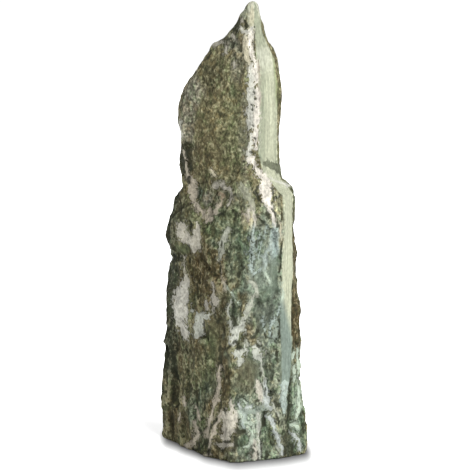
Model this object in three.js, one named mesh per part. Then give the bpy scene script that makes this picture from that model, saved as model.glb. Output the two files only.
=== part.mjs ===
// A standing stone, such as is set up in a garden: one rough pillar of green mica schist, as it came
// off the quarry face, with a smooth pale cleavage plane down its right side, a shoulder two thirds
// of the way up where the upper slab broke back, and a pointed top. The foot is sawn flat.
//
// Millimetres, +Z up. The origin is the middle of the foot, and -Y is the front.
import * as THREE from "three";

const HEIGHT = 1200;
const TIP_RISE = 2; // how far the worn tip rises above the highest ring
const FOOT_CHAMFER = 5; // the saw's edge, broken off all round the foot
const AXIS = [-4, 51]; // where the middle of the foot lies among the figures of the arrises

// The arrises are the long edges that run up the stone, here in order round it, anticlockwise seen
// from above. Each route is a list of [height, x, y] from the foot to the point. columns is how many
// strips of faces lie between an arris and the next one, soft is how far the edge is worn round, as
// a share of the faces beside it, and rough is how much of the broken surface it has.
const ARRISES = [
  {
    // The left side, where the broad front ends.
    columns: 4,
    soft: 0.15,
    rough: 0.6,
    route: [
      [0, -203, 163], [66, -208, 160], [120, -219, 155], [150, -224, 153], [200, -222, 150],
      [256, -207, 145], [300, -193, 140], [345, -190, 138], [400, -197, 135], [430, -194, 133],
      [459, -186, 130], [512, -171, 122], [544, -178, 120], [572, -183, 117], [610, -176, 115],
      [676, -158, 105], [697, -148, 98], [713, -137, 95], [737, -140, 92], [768, -150, 90],
      [813, -141, 85], [848, -140, 83], [888, -154, 80], [930, -154, 73], [953, -147, 70],
      [985, -131, 65], [1048, -84, 55], [1077, -68, 50], [1092, -60, 44], [1099, -47, 40],
      [1112, -20, 30], [1143, 3, 20], [1174, 19, 14], [HEIGHT, 35, 12],
    ],
  },
  {
    // The corner where the front turns back to the left side.
    columns: 9,
    soft: 0.25,
    rough: 0.9,
    route: [
      [0, -172, 108], [110, -174, 98], [220, -158, 90], [300, -156, 87], [400, -159, 86],
      [460, -159, 82], [520, -156, 80], [546, -161, 80], [610, -161, 74], [680, -147, 62],
      [712, -130, 55], [768, -137, 50], [888, -145, 42], [953, -135, 36], [1017, -100, 30],
      [1090, -46, 24], [1143, 4, 6], [HEIGHT, 37, 2],
    ],
  },
  {
    // A low swell down the left of the front.
    columns: 8,
    soft: 0.45,
    rough: 1,
    route: [
      [0, -83, -40], [300, -80, -44], [600, -70, -36], [720, -64, -10], [900, -60, 0],
      [1050, -34, 0], [1143, 16, -7], [HEIGHT, 42, -5],
    ],
  },
  {
    // The ridge that comes forward down the middle of the lower block.
    columns: 7,
    soft: 0.22,
    rough: 1,
    route: [
      [0, -8, -108], [200, -6, -99], [380, -2, -88], [480, 16, -82], [620, 36, -78],
      [700, 40, -66], [770, 24, -44], [900, 12, -32], [1050, 22, -27], [1143, 36, -17],
      [HEIGHT, 46, -8],
    ],
  },
  {
    // The near edge of the smooth cleavage plane.
    columns: 4,
    soft: 0.05,
    rough: 0.3,
    route: [
      [0, 119, -62], [300, 121, -66], [600, 121, -66], [700, 119, -62], [712, 114, -60],
      [737, 94, -56], [763, 73, -51], [816, 60, -50], [900, 62, -48], [960, 61, -42],
      [1050, 56, -30], [1143, 50, -18], [HEIGHT, 50, -8],
    ],
  },
  {
    // The far edge of the smooth cleavage plane.
    columns: 3,
    soft: 0.12,
    rough: 0.3,
    route: [
      [0, 150, -44], [300, 150, -38], [500, 147, -24], [700, 141, -14], [716, 138, -8],
      [724, 131, -3], [738, 119, 2], [780, 112, 5], [900, 111, 5], [990, 110, 4], [1050, 102, 3],
      [1081, 90, 2], [1112, 73, 0], [1143, 65, -4], [HEIGHT, 52, -2],
    ],
  },
  {
    // The right side.
    columns: 7,
    soft: 0.15,
    rough: 0.5,
    route: [
      [0, 196, -15], [61, 194, -15], [92, 193, -13], [128, 177, -10], [172, 175, -7],
      [230, 172, -3], [320, 170, 2], [384, 180, 5], [448, 171, 8], [482, 163, 9], [544, 166, 10],
      [576, 158, 12], [640, 156, 15], [690, 154, 18], [714, 149, 20], [724, 138, 22],
      [738, 121, 25], [767, 119, 26], [862, 117, 28], [925, 123, 28], [956, 126, 28],
      [1019, 120, 26], [1050, 114, 24], [1081, 101, 22], [1097, 86, 20], [1112, 79, 18],
      [1143, 73, 16], [1174, 62, 13], [HEIGHT, 55, 10],
    ],
  },
  {
    // The corner of the right side and the back, with a ledge low on the shoulder.
    columns: 9,
    soft: 0.22,
    rough: 1.2,
    route: [
      [0, 176, 112], [150, 168, 124], [400, 152, 114], [560, 146, 106], [634, 140, 104],
      [668, 118, 98], [800, 106, 94], [900, 104, 92], [1000, 98, 80], [1080, 84, 62],
      [1143, 66, 42], [HEIGHT, 55, 24],
    ],
  },
  {
    // The middle of the back.
    columns: 9,
    soft: 0.3,
    rough: 1.3,
    route: [
      [0, 30, 186], [300, 24, 180], [520, 30, 166], [590, 26, 150], [800, 2, 140],
      [880, -14, 134], [960, -4, 116], [1050, 12, 94], [1120, 30, 60], [HEIGHT, 46, 28],
    ],
  },
  {
    // The corner of the back and the left side.
    columns: 5,
    soft: 0.22,
    rough: 0.9,
    route: [
      [0, -140, 202], [150, -146, 198], [350, -138, 188], [540, -130, 176], [720, -118, 166],
      [790, -112, 160], [818, -104, 140], [950, -98, 122], [1017, -78, 106], [1080, -40, 80],
      [1130, 5, 50], [1174, 28, 30], [HEIGHT, 39, 23],
    ],
  },
];

// The front of the lower block stands this far proud of the upper slab, up to a scalloped line:
// [x, height of the line there].
const SHOULDER_STEP = 13;
const SHOULDER_FALL = 40; // how much height the step takes
const SHOULDER_DEPTH = 60; // how far below the line the step starts to run out
const SHOULDER_RUN = 260; // how much height it takes to run out into the foot's face
const SHOULDER_LINE = [
  [-190, 700], [-131, 760], [-113, 700], [-97, 660], [-76, 645], [-55, 662], [-42, 702],
  [-26, 734], [0, 742], [22, 785], [46, 765], [74, 736], [112, 716],
];

// Planes of fracture, where the stone ends: a point that each passes through, and the way it faces,
// as a bearing round the stone (0 is the right, 90 the back) and a climb, both in degrees.
const FRACTURES = [
  { through: [72, 118, 880], bearing: 58, climb: 11 },
  { through: [-62, 136, 860], bearing: 118, climb: 13 },
  { through: [62, 170, 240], bearing: 74, climb: -4 },
  { through: [162, 84, 380], bearing: 33, climb: 5 },
  { through: [-150, 176, 330], bearing: 140, climb: 4 },
  { through: [-20, 112, 1010], bearing: 110, climb: 24 },
  { through: [124, 78, 560], bearing: 40, climb: 2 },
];

// Hollows where a flake came away from the front: [x, height, half width, half height, depth].
const HOLLOWS = [
  [-92, 706, 22, 40, 8],
  [-150, 528, 30, 24, 9],
  [24, 1136, 12, 22, 7],
  [72, 560, 26, 100, 6],
  [-120, 250, 18, 130, 6],
  [10, 330, 22, 110, 6],
  [86, 210, 18, 100, 6],
];

// The broken surface: broad lumps, long splinters along the grain, and scooped chips.
// mean is the middle of each one's noise, so that together they neither swell nor shrink the stone.
const LUMP = { across: 110, along: 200, height: 8 };
const SPLINTER = { across: 40, along: 170, height: 5, mean: 0.25 };
const CHIP = { across: 70, along: 130, height: 14, mean: 0.3 };
const UPPER = { from: 700, fade: 80, roughness: 0.55 }; // the upper slab has less of it
const FRONT = { from: 0.2, fade: 0.3 }; // how far a face turns to the front to have the front's relief
const ROWS = 60; // bands of faces from the foot to the point
const LEDGE_ROWS = [FOOT_CHAMFER, 640, 660, 700, 713, 727, 745, 768]; // rows at the ledges
const LEDGE_CLEARANCE = 7; // the least height between a ledge's row and the next

const mix = (a, b, t) => a + (b - a) * t;
const clamp01 = (t) => Math.min(1, Math.max(0, t));
const ease = (t) => t * t * (3 - 2 * t);

// The route's x and y at a height, on straight lines between its points.
function along(route, z) {
  let i = 1;
  while (i < route.length - 1 && route[i][0] < z) i += 1;
  const [z0, ...from] = route[i - 1];
  const [z1, ...to] = route[i];
  const t = clamp01((z - z0) / (z1 - z0));
  return from.map((value, k) => mix(value, to[k], t));
}

// A whole number from 0 to 2^32 - 1 that stands for a corner of the noise's lattice.
function scramble(ix, iy, iz, seed) {
  let h = Math.imul(ix, 374761393) ^ Math.imul(iy, 668265263) ^ Math.imul(iz, 1440662683);
  h = Math.imul(h ^ (h >>> 13) ^ Math.imul(seed, 2246822519), 1274126177);
  h = Math.imul(h ^ (h >>> 15), 2654435761);
  return (h ^ (h >>> 16)) >>> 0;
}

// Gradient noise, from about -1 to 1: a random slope at each corner of a cubic lattice, eased
// between the corners.
function noise(x, y, z, seed) {
  const cell = [Math.floor(x), Math.floor(y), Math.floor(z)];
  const at = [x - cell[0], y - cell[1], z - cell[2]];
  const weight = at.map((t) => t * t * t * (t * (t * 6 - 15) + 10));
  let sum = 0;
  for (let corner = 0; corner < 8; corner += 1) {
    const bit = [corner & 1, (corner >> 1) & 1, corner >> 2];
    const h = scramble(cell[0] + bit[0], cell[1] + bit[1], cell[2] + bit[2], seed);
    const slope = [h & 1023, (h >>> 10) & 1023, (h >>> 20) & 1023].map((v) => v / 511.5 - 1);
    const share = bit.reduce((w, b, k) => w * (b ? weight[k] : 1 - weight[k]), 1);
    sum += share * slope.reduce((d, g, k) => d + g * (at[k] - bit[k]), 0);
  }
  return sum * 1.6;
}

// Cellular noise: the square of the distance to the nearest of the points that are strewn one to a
// cell, from 0 at a point to about 1 on the rim between two. It looks like scooped chips.
function scoops(x, y, z, seed) {
  const cell = [Math.floor(x), Math.floor(y), Math.floor(z)];
  let nearest = 9;
  for (let i = -1; i <= 1; i += 1)
    for (let j = -1; j <= 1; j += 1)
      for (let k = -1; k <= 1; k += 1) {
        const corner = [cell[0] + i, cell[1] + j, cell[2] + k];
        const h = scramble(...corner, seed);
        const dx = corner[0] + (h & 1023) / 1023 - x;
        const dy = corner[1] + ((h >>> 10) & 1023) / 1023 - y;
        const dz = corner[2] + ((h >>> 20) & 1023) / 1023 - z;
        nearest = Math.min(nearest, dx * dx + dy * dy + dz * dz);
      }
  return nearest;
}

// The outline of the stone at a height, as a polygon of the arrises with its corners worn round.
// place counts arrises: 2.5 is halfway between the third and the fourth.
function outline(place, z) {
  const count = ARRISES.length;
  const corner = Math.round(place);
  const off = place - corner;
  const here = ARRISES[corner % count];
  const middle = along(here.route, z);
  const side = ARRISES[(corner + (off < 0 ? count - 1 : 1)) % count];
  const far = along(side.route, z);
  if (Math.abs(off) >= here.soft)
    return middle.map((value, k) => mix(value, far[k], Math.abs(off)));
  // Within soft of the corner the edge is a parabola that leaves one face and meets the other.
  const before = along(ARRISES[(corner + count - 1) % count].route, z);
  const after = along(ARRISES[(corner + 1) % count].route, z);
  const t = (off / here.soft + 1) / 2;
  return middle.map((value, k) => {
    const start = mix(value, before[k], here.soft);
    const end = mix(value, after[k], here.soft);
    return mix(mix(start, value, t), mix(value, end, t), t);
  });
}

// Takes a point back to each plane of fracture that it lies beyond.
function fractured(point) {
  for (const { through, bearing, climb } of FRACTURES) {
    const turn = THREE.MathUtils.degToRad(bearing);
    const rise = THREE.MathUtils.degToRad(climb);
    const facing = new THREE.Vector3(
      Math.cos(turn) * Math.cos(rise),
      Math.sin(turn) * Math.cos(rise),
      Math.sin(rise),
    );
    const [x, y, z] = through;
    const beyond = facing.dot(point) - facing.dot(new THREE.Vector3(x - AXIS[0], y - AXIS[1], z));
    // Straight in, so that the point keeps its height.
    if (beyond > 0) point.sub(new THREE.Vector3(facing.x, facing.y, 0).multiplyScalar(beyond));
  }
  return point;
}

// How far the front stands out at x and z: the shoulder's step, less the hollows.
function frontRelief(x, z) {
  const line = along(SHOULDER_LINE, x)[0];
  let out = SHOULDER_STEP * ease(clamp01((line - z) / SHOULDER_FALL));
  out *= 1 - ease(clamp01((line - z - SHOULDER_DEPTH) / SHOULDER_RUN));
  for (const [hx, hz, width, height, depth] of HOLLOWS) {
    const far = ((x - hx) / width) ** 2 + ((z - hz) / height) ** 2;
    if (far < 1) out -= depth * (1 - far) ** 2;
  }
  return out;
}

// How far the broken surface stands out at a point, with its mean near nothing.
function brokenSurface(x, y, z) {
  const lump = noise(x / LUMP.across, y / LUMP.across, z / LUMP.along, 1);
  const splinter = noise(x / SPLINTER.across, y / SPLINTER.across, z / SPLINTER.along, 2);
  const chip = scoops(x / CHIP.across, y / CHIP.across, z / CHIP.along, 3);
  const ridge = 2 * (SPLINTER.mean - Math.abs(splinter));
  return LUMP.height * lump + SPLINTER.height * ridge + CHIP.height * (chip - CHIP.mean);
}

// A point of the stone's skin.
function skin(place, z) {
  const [x, y] = outline(place, z);
  const step = 0.02;
  const count = ARRISES.length;
  const [ax, ay] = outline((place - step + count) % count, z);
  const [bx, by] = outline((place + step) % count, z);
  const out = new THREE.Vector3(by - ay, ax - bx, 0).normalize();
  const corner = Math.floor(place);
  const next = ARRISES[(corner + 1) % count];
  let rough = mix(ARRISES[corner].rough, next.rough, place - corner);
  rough *= mix(1, UPPER.roughness, ease(clamp01((z - UPPER.from) / UPPER.fade)));
  let reach = rough * brokenSurface(x, y, z);
  reach += frontRelief(x, z) * ease(clamp01((-out.y - FRONT.from) / FRONT.fade));
  return fractured(new THREE.Vector3(x - AXIS[0], y - AXIS[1], z)).addScaledVector(out, reach);
}

// The heights of the rows: even bands, and a row at each ledge.
function rowHeights() {
  const even = Array.from({ length: ROWS + 1 }, (_, i) => (HEIGHT * i) / ROWS);
  const near = (z) => z > 0 && LEDGE_ROWS.some((ledge) => Math.abs(ledge - z) < LEDGE_CLEARANCE);
  return [...even.filter((z) => !near(z)), ...LEDGE_ROWS].sort((a, b) => a - b);
}

// The places of the columns round the stone.
function columnPlaces() {
  return ARRISES.flatMap(({ columns }, corner) =>
    Array.from({ length: columns }, (_, i) => corner + i / columns),
  );
}

// The closed skin: a ring of points at each height, a fan over the tip and another on the foot.
function stoneGeometry() {
  const places = columnPlaces();
  const heights = rowHeights();
  const round = places.length;
  const positions = [];
  const faces = [];
  for (const z of heights)
    for (const place of places) {
      const point = skin(place, z);
      if (z === 0) point.multiplyScalar(1 - FOOT_CHAMFER / point.length());
      positions.push(point.x, point.y, point.z);
    }
  const corner = (i) => new THREE.Vector3().fromArray(positions, i * 3);
  const apart = (i, j) => corner(i).distanceTo(corner(j));
  for (let row = 0; row + 1 < heights.length; row += 1)
    for (let column = 0; column < round; column += 1) {
      const next = (column + 1) % round;
      const [a, b] = [row * round + column, row * round + next];
      const [c, d] = [a + round, b + round];
      // Each four-sided patch is parted along the shorter of its diagonals.
      if (apart(a, d) <= apart(b, c)) faces.push(a, b, d, a, d, c);
      else faces.push(a, b, c, b, d, c);
    }
  const foot = positions.length / 3;
  positions.push(0, 0, 0);
  const top = (heights.length - 1) * round;
  const [tx, ty] = [0, 1].map((k) => {
    let sum = 0;
    for (let column = 0; column < round; column += 1) sum += positions[(top + column) * 3 + k];
    return sum / round;
  });
  positions.push(tx, ty, HEIGHT + TIP_RISE);
  for (let column = 0; column < round; column += 1) {
    const next = (column + 1) % round;
    faces.push(foot, next, column, foot + 1, top + column, top + next);
  }
  const geometry = new THREE.BufferGeometry();
  geometry.setAttribute("position", new THREE.Float32BufferAttribute(positions, 3));
  geometry.setIndex(faces);
  geometry.computeVertexNormals();
  return geometry;
}

const schist = new THREE.MeshStandardMaterial({ color: 0x6f6e54, roughness: 0.85, metalness: 0 });
const stone = new THREE.Mesh(stoneGeometry(), schist);
stone.name = "stone";

const monolith = new THREE.Group();
monolith.add(stone);
export default monolith;
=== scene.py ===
import math

import bpy
import numpy as np
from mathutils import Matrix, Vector


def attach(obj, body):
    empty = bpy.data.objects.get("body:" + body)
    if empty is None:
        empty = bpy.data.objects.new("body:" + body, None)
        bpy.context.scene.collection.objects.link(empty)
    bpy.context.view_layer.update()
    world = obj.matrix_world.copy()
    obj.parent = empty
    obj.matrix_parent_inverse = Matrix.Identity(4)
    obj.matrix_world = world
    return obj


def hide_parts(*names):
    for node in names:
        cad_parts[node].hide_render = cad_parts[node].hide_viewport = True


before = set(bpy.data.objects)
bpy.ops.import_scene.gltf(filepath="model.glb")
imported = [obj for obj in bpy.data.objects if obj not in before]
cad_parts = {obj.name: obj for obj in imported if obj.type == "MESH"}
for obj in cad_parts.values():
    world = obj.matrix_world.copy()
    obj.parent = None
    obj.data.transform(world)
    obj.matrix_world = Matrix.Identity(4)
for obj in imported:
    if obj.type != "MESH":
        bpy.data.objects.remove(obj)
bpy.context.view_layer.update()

# ---- The stone: its form ------------------------------------------------------------------------
# One pillar of green mica schist, as it came off the quarry face, split along its cleavage and sawn
# flat at the foot. Its arrises are the long edges that run up it, in order round it, anticlockwise
# seen from above: each has a route of (height, x, y) in millimetres from the foot to the tip.
TOP = 1200
HEIGHT = TOP / 1000
TIP_RISE = 0.002
TIP_ROUND, TIP_PULL = 0.010, 0.35  # the tip is blunt: the last of it is drawn in by a third
FOOT_CHAMFER = 0.005
AXIS = (-0.004, 0.051)  # where the middle of the foot lies among the figures of the arrises

# columns is how many strips of faces lie between an arris and the next, soft is how far the edge is
# worn round, as a share of the faces beside it, and rough is its share of the broken surface.
ARRISES = [
    # the left side, where the broad front ends
    dict(columns=18, soft=0.15, rough=0.6, route=[
        (0, -203, 163), (66, -208, 160), (120, -219, 155), (150, -224, 153), (200, -222, 150),
        (256, -207, 145), (300, -193, 140), (345, -190, 138), (400, -197, 135), (430, -194, 133),
        (459, -186, 130), (512, -171, 122), (544, -178, 120), (572, -183, 117), (610, -176, 115),
        (676, -158, 105), (697, -148, 98), (713, -137, 95), (737, -140, 92), (768, -150, 90),
        (813, -141, 85), (848, -140, 83), (888, -154, 80), (930, -154, 73), (953, -147, 70),
        (985, -131, 65), (1048, -84, 55), (1077, -68, 50), (1092, -60, 44), (1099, -47, 40),
        (1112, -20, 30), (1143, 3, 20), (1174, 19, 14), (TOP, 35, 12)]),
    # the corner where the front turns back to the left side
    dict(columns=50, soft=0.25, rough=0.9, route=[
        (0, -172, 108), (110, -174, 98), (220, -158, 90), (300, -156, 87), (400, -159, 86),
        (460, -159, 82), (520, -156, 80), (546, -161, 80), (610, -161, 74), (680, -147, 62),
        (712, -130, 55), (768, -137, 50), (888, -145, 42), (953, -135, 36), (1017, -100, 30),
        (1090, -46, 24), (1143, 4, 6), (TOP, 37, 2)]),
    # a low swell down the left of the front
    dict(columns=32, soft=0.45, rough=1, route=[
        (0, -83, -40), (300, -80, -44), (600, -70, -36), (720, -64, -10), (900, -60, 0),
        (1050, -34, 0), (1143, 16, -7), (TOP, 42, -5)]),
    # the ridge that comes forward down the middle of the lower block
    dict(columns=42, soft=0.22, rough=1, route=[
        (0, -8, -108), (200, -6, -99), (380, -2, -88), (480, 16, -82), (620, 36, -78),
        (700, 40, -66), (770, 24, -44), (900, 12, -32), (1050, 22, -27), (1143, 36, -17),
        (TOP, 46, -8)]),
    # the near edge of the smooth cleavage plane
    dict(columns=12, soft=0.05, rough=0.3, route=[
        (0, 119, -62), (300, 121, -66), (600, 121, -66), (700, 119, -62), (712, 114, -60),
        (737, 94, -56), (763, 73, -51), (816, 60, -50), (900, 62, -48), (960, 61, -42),
        (1050, 56, -30), (1143, 50, -18), (TOP, 50, -8)]),
    # the far edge of the smooth cleavage plane
    dict(columns=18, soft=0.12, rough=0.3, route=[
        (0, 150, -44), (300, 150, -38), (500, 147, -24), (700, 141, -14), (716, 138, -8),
        (724, 131, -3), (738, 119, 2), (780, 112, 5), (900, 111, 5), (990, 110, 4), (1050, 102, 3),
        (1081, 90, 2), (1112, 73, 0), (1143, 65, -4), (TOP, 52, -2)]),
    # the right side
    dict(columns=28, soft=0.15, rough=0.5, route=[
        (0, 196, -15), (61, 194, -15), (92, 193, -13), (128, 177, -10), (172, 175, -7),
        (230, 172, -3), (320, 170, 2), (384, 180, 5), (448, 171, 8), (482, 163, 9), (544, 166, 10),
        (576, 158, 12), (640, 156, 15), (690, 154, 18), (714, 149, 20), (724, 138, 22),
        (738, 121, 25), (767, 119, 26), (862, 117, 28), (925, 123, 28), (956, 126, 28),
        (1019, 120, 26), (1050, 114, 24), (1081, 101, 22), (1097, 86, 20), (1112, 79, 18),
        (1143, 73, 16), (1174, 62, 13), (TOP, 55, 10)]),
    # the corner of the right side and the back, with a ledge low on the shoulder
    dict(columns=34, soft=0.22, rough=1.2, route=[
        (0, 176, 112), (150, 168, 124), (400, 152, 114), (560, 146, 106), (634, 140, 104),
        (668, 118, 98), (800, 106, 94), (900, 104, 92), (1000, 98, 80), (1080, 84, 62),
        (1143, 66, 42), (TOP, 55, 24)]),
    # the middle of the back
    dict(columns=36, soft=0.3, rough=1.3, route=[
        (0, 30, 186), (300, 24, 180), (520, 30, 166), (590, 26, 150), (800, 2, 140),
        (880, -14, 134), (960, -4, 116), (1050, 12, 94), (1120, 30, 60), (TOP, 46, 28)]),
    # the corner of the back and the left side
    dict(columns=18, soft=0.22, rough=0.9, route=[
        (0, -140, 202), (150, -146, 198), (350, -138, 188), (540, -130, 176), (720, -118, 166),
        (790, -112, 160), (818, -104, 140), (950, -98, 122), (1017, -78, 106), (1080, -40, 80),
        (1130, 5, 50), (1174, 28, 30), (TOP, 39, 23)]),
]
ROWS = 340  # bands of faces from the foot to the tip
SEAM = 8  # the arris at which the columns start: the middle of the back


def ease(t):
    """Cuts t to 0 to 1 and rounds both ends: three times its square less twice its cube."""
    t = np.clip(t, 0, 1)
    return t * t * (3 - 2 * t)


def mix(a, b, t):
    """The value a share t of the way from a to b."""
    return a + (b - a) * t


# A grid of places round the stone, counted in arrises, by heights, and each arris's x and y at each
# of those heights.
turns = [corner + np.arange(arris["columns"]) / arris["columns"]
         for corner, arris in enumerate(ARRISES)]
place = (np.concatenate(turns[SEAM:] + turns[:SEAM]))[:, None]
height = np.linspace(0, HEIGHT, ROWS + 1)[None, :]
courses = []
for arris in ARRISES:
    level, *sideways = np.array(arris["route"]).T / 1000
    courses.append(np.stack([np.interp(height[0], level, side) for side in sideways], 1))
courses = np.stack(courses)


def outline(place):
    """The stone's outline at every height: straight from arris to arris, and within soft of an
    arris the parabola that leaves one face and meets the other."""
    count = len(ARRISES)
    corner = np.rint(place[:, 0]).astype(int)
    off = (place[:, 0] - corner)[:, None, None]
    here, before, after = (courses[(corner + step) % count] for step in (0, -1, 1))
    soft = np.array([arris["soft"] for arris in ARRISES])[corner % count][:, None, None]
    straight = mix(here, np.where(off < 0, before, after), abs(off))
    along = (off / soft + 1) / 2
    start, end = mix(here, before, soft), mix(here, after, soft)
    worn = mix(mix(start, here, along), mix(here, end, along), along)
    return np.where(abs(off) < soft, worn, straight)


def scramble(x, y, z, seed):
    """Whole numbers below two to the 32nd that look random, one for each corner of a lattice: the
    corner's three numbers times large odd ones, mixed by shifts and exclusive ors."""
    x, y, z, seed = (np.asarray(v).astype(np.int64).astype(np.uint32) for v in (x, y, z, seed))
    large = [np.full(1, v, np.uint32) for v in (374761393, 668265263, 1440662683)]
    stir = [np.full(1, v, np.uint32) for v in (2246822519, 1274126177, 2654435761)]
    h = x * large[0] ^ y * large[1] ^ z * large[2]
    h = (h ^ (h >> 13) ^ (seed * stir[0])) * stir[1]
    h = (h ^ (h >> 15)) * stir[2]
    return h ^ (h >> 16)


def noise(x, y, z, seed):
    """Gradient noise from about -1 to 1: a random slope at each corner of a cubic lattice, eased
    between the corners."""
    cell = [np.floor(v) for v in (x, y, z)]
    at = [v - c for v, c in zip((x, y, z), cell)]
    weight = [t * t * t * (t * (t * 6 - 15) + 10) for t in at]
    total = 0
    for corner in np.ndindex(2, 2, 2):
        h = scramble(*(c + bit for c, bit in zip(cell, corner)), seed)
        share, rise = 1, 0
        for axis, bit in enumerate(corner):
            share = share * (weight[axis] if bit else 1 - weight[axis])
            rise = rise + (((h >> 10 * axis) & 1023) / 511.5 - 1) * (at[axis] - bit)
        total = total + share * rise
    return total * 1.6


def scoops(x, y, z, seed, uneven=0):
    """The square of the distance to the nearest of the points strewn one to a lattice cell, from 0
    at a point to about 1 on the rim between two, as on a face where chips were scooped out. Where
    uneven, each bowl stands higher by its own share of that."""
    cell = [np.floor(v) for v in (x, y, z)]
    nearest = 9
    for step in np.ndindex(3, 3, 3):
        corner = [c + s - 1 for c, s in zip(cell, step)]
        h = scramble(*corner, seed)
        away = [corner[axis] + ((h >> 10 * axis) & 1023) / 1023 - v
                for axis, v in enumerate((x, y, z))]
        lift = uneven * ((h >> 7) & 1023) / 1023
        nearest = np.minimum(nearest, sum(d * d for d in away) + lift)
    return nearest


def stretched(kind, size, at, **more):
    """A kind of noise of a size, at some points, longer up the stone than across it."""
    across, along = size["across"], size["along"]
    return kind(at[0] / across, at[1] / across, at[2] / along, size["seed"], **more)


# The front of the lower block stands proud of the upper slab, up to a scalloped line of
# (x, height), and hollows are where a flake came away: (x, height, half width, half height, depth).
# All of these are in millimetres.
SHOULDER_STEP = 0.013
SHOULDER_FALL = 0.014
RUN_OUT = (0.060, 0.260)  # how far under the line the step runs out, and over what height
SCALLOP = dict(across=0.020, along=0.030, height=0.006, seed=12)
SHOULDER_LINE = [
    (-190, 700), (-131, 760), (-113, 700), (-97, 660), (-76, 645), (-55, 662), (-42, 702),
    (-26, 734), (0, 742), (22, 785), (46, 765), (74, 736), (112, 716),
]
HOLLOWS = [
    (-92, 706, 22, 40, 8), (-150, 528, 30, 24, 9), (24, 1136, 12, 22, 7), (72, 560, 26, 100, 6),
    (-120, 250, 18, 130, 6), (10, 330, 22, 110, 6), (86, 210, 18, 100, 6),
]


def front_relief(x, z):
    """How far the front stands out: the shoulder's step, eased over its fall and run out again
    further down, less a bowl for each hollow."""
    line = np.interp(x, *np.array(SHOULDER_LINE).T / 1000)
    line = line + SCALLOP["height"] * stretched(noise, SCALLOP, (x, 0 * x, z))
    out = SHOULDER_STEP * ease((line - z) / SHOULDER_FALL)
    out = out * (1 - ease((line - z - RUN_OUT[0]) / RUN_OUT[1]))
    for at_x, at_z, width, tall, depth in np.array(HOLLOWS) / 1000:
        far = ((x - at_x) / width) ** 2 + ((z - at_z) / tall) ** 2
        out = out - depth * np.clip(1 - far, 0, 1) ** 2
    return out


# Planes of fracture, where the stone ends: a point on each, and the way it faces, as a bearing round
# the stone (0 is the right, 90 the back) and a climb, in degrees.
FRACTURES = [
    ((0.072, 0.118, 0.880), 58, 11), ((-0.062, 0.136, 0.860), 118, 13),
    ((0.062, 0.170, 0.240), 74, -4), ((0.162, 0.084, 0.380), 33, 5),
    ((-0.150, 0.176, 0.330), 140, 4), ((-0.020, 0.112, 1.010), 110, 24),
    ((0.124, 0.078, 0.560), 40, 2),
]


def fractured(x, y, z):
    """x and y taken level back by as much as the point lies beyond each plane."""
    for through, bearing, climb in FRACTURES:
        turn, rise = math.radians(bearing), math.radians(climb)
        facing = (math.cos(turn) * math.cos(rise), math.sin(turn) * math.cos(rise), math.sin(rise))
        beyond = sum(f * (v - t) for f, v, t in zip(facing, (x, y, z), through))
        beyond = np.maximum(beyond, 0)
        x, y = x - facing[0] * beyond, y - facing[1] * beyond
    return x, y


# The broken surface at its largest: broad lumps, splinters along the grain, and scooped chips, whose
# mean is taken off so that the stone keeps its size.
LUMP = dict(across=0.110, along=0.200, height=0.008, seed=1)
SPLINTER = dict(across=0.040, along=0.170, height=0.005, seed=2)
CHIP = dict(across=0.070, along=0.130, height=0.014, mean=0.3, seed=3)
BLOCK_TOP = 0.700  # where the lower block gives way to the upper slab
UPPER_ROUGHNESS = 0.55
ROUGHNESS_RUN = 0.080  # how far up the change in roughness takes
FRONT_TURN = (0.2, 0.3)  # how far forward a face looks where the front's relief starts, and gains
GLANCE = 0.02  # how far along the outline, in arrises, its direction is measured

base = outline(place)
x, y = base[..., 0], base[..., 1]
z = np.broadcast_to(height, x.shape)
ahead, behind = (outline((place + step) % len(ARRISES)) for step in (GLANCE, -GLANCE))
side = ahead - behind
side = side / np.linalg.norm(side, axis=2, keepdims=True)
out_x, out_y = side[..., 1], -side[..., 0]

splinter = 0.5 - 2 * abs(stretched(noise, SPLINTER, (x, y, z)))  # ridges: from -0.5 up to 0.5
broken = LUMP["height"] * stretched(noise, LUMP, (x, y, z)) + SPLINTER["height"] * splinter
broken = broken + CHIP["height"] * (stretched(scoops, CHIP, (x, y, z)) - CHIP["mean"])
shares = np.array([arris["rough"] for arris in ARRISES])
corner = np.floor(place).astype(int)
rough = mix(shares[corner], shares[(corner + 1) % len(ARRISES)], place - corner)
rough = rough * mix(1, UPPER_ROUGHNESS, ease((z - BLOCK_TOP) / ROUGHNESS_RUN))
reach = rough * broken + front_relief(x, z) * ease((-out_y - FRONT_TURN[0]) / FRONT_TURN[1])
x, y = fractured(x, y, z)
x, y = x + out_x * reach - AXIS[0], y + out_y * reach - AXIS[1]
inset = np.where(z == 0, 1 - FOOT_CHAMFER / np.hypot(x, y), 1)
x, y = x * inset, y * inset

# ---- The stone: its broken surface --------------------------------------------------------------
# Schist splits in flakes along its grain and chips across it, and weathers to grit. The cleavage
# plane down the right parted cleanly, and has only faint grooves that run up it.
FLAKE = dict(across=0.058, along=0.115, height=0.0070, upper=0.25, seed=21)
SHARD = dict(across=0.027, along=0.052, height=0.0038, upper=0.45, seed=23)
NICK = dict(across=0.0125, along=0.019, height=0.0024, mean=0.45, seed=25)
NICK_UNEVEN = 0.5  # how much shallower some nicks are than others, as a share
GRIT = dict(across=0.0065, along=0.0085, height=0.0009, seed=26)
GROOVE = dict(across=0.007, along=0.380, height=0.0009, seed=27)
BEND = dict(across=0.024, along=0.040, height=0.006, seed=31)  # how the flakes' edges wander
NEAR_SIDE, FAR_SIDE = 4, 5  # the arrises that bound the cleavage plane
PLANE_EDGE = 0.004  # over what width the broken faces give way to it
UPPER_RUN = 0.050  # over what height the lower block's flakes give way to the upper slab's


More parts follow.
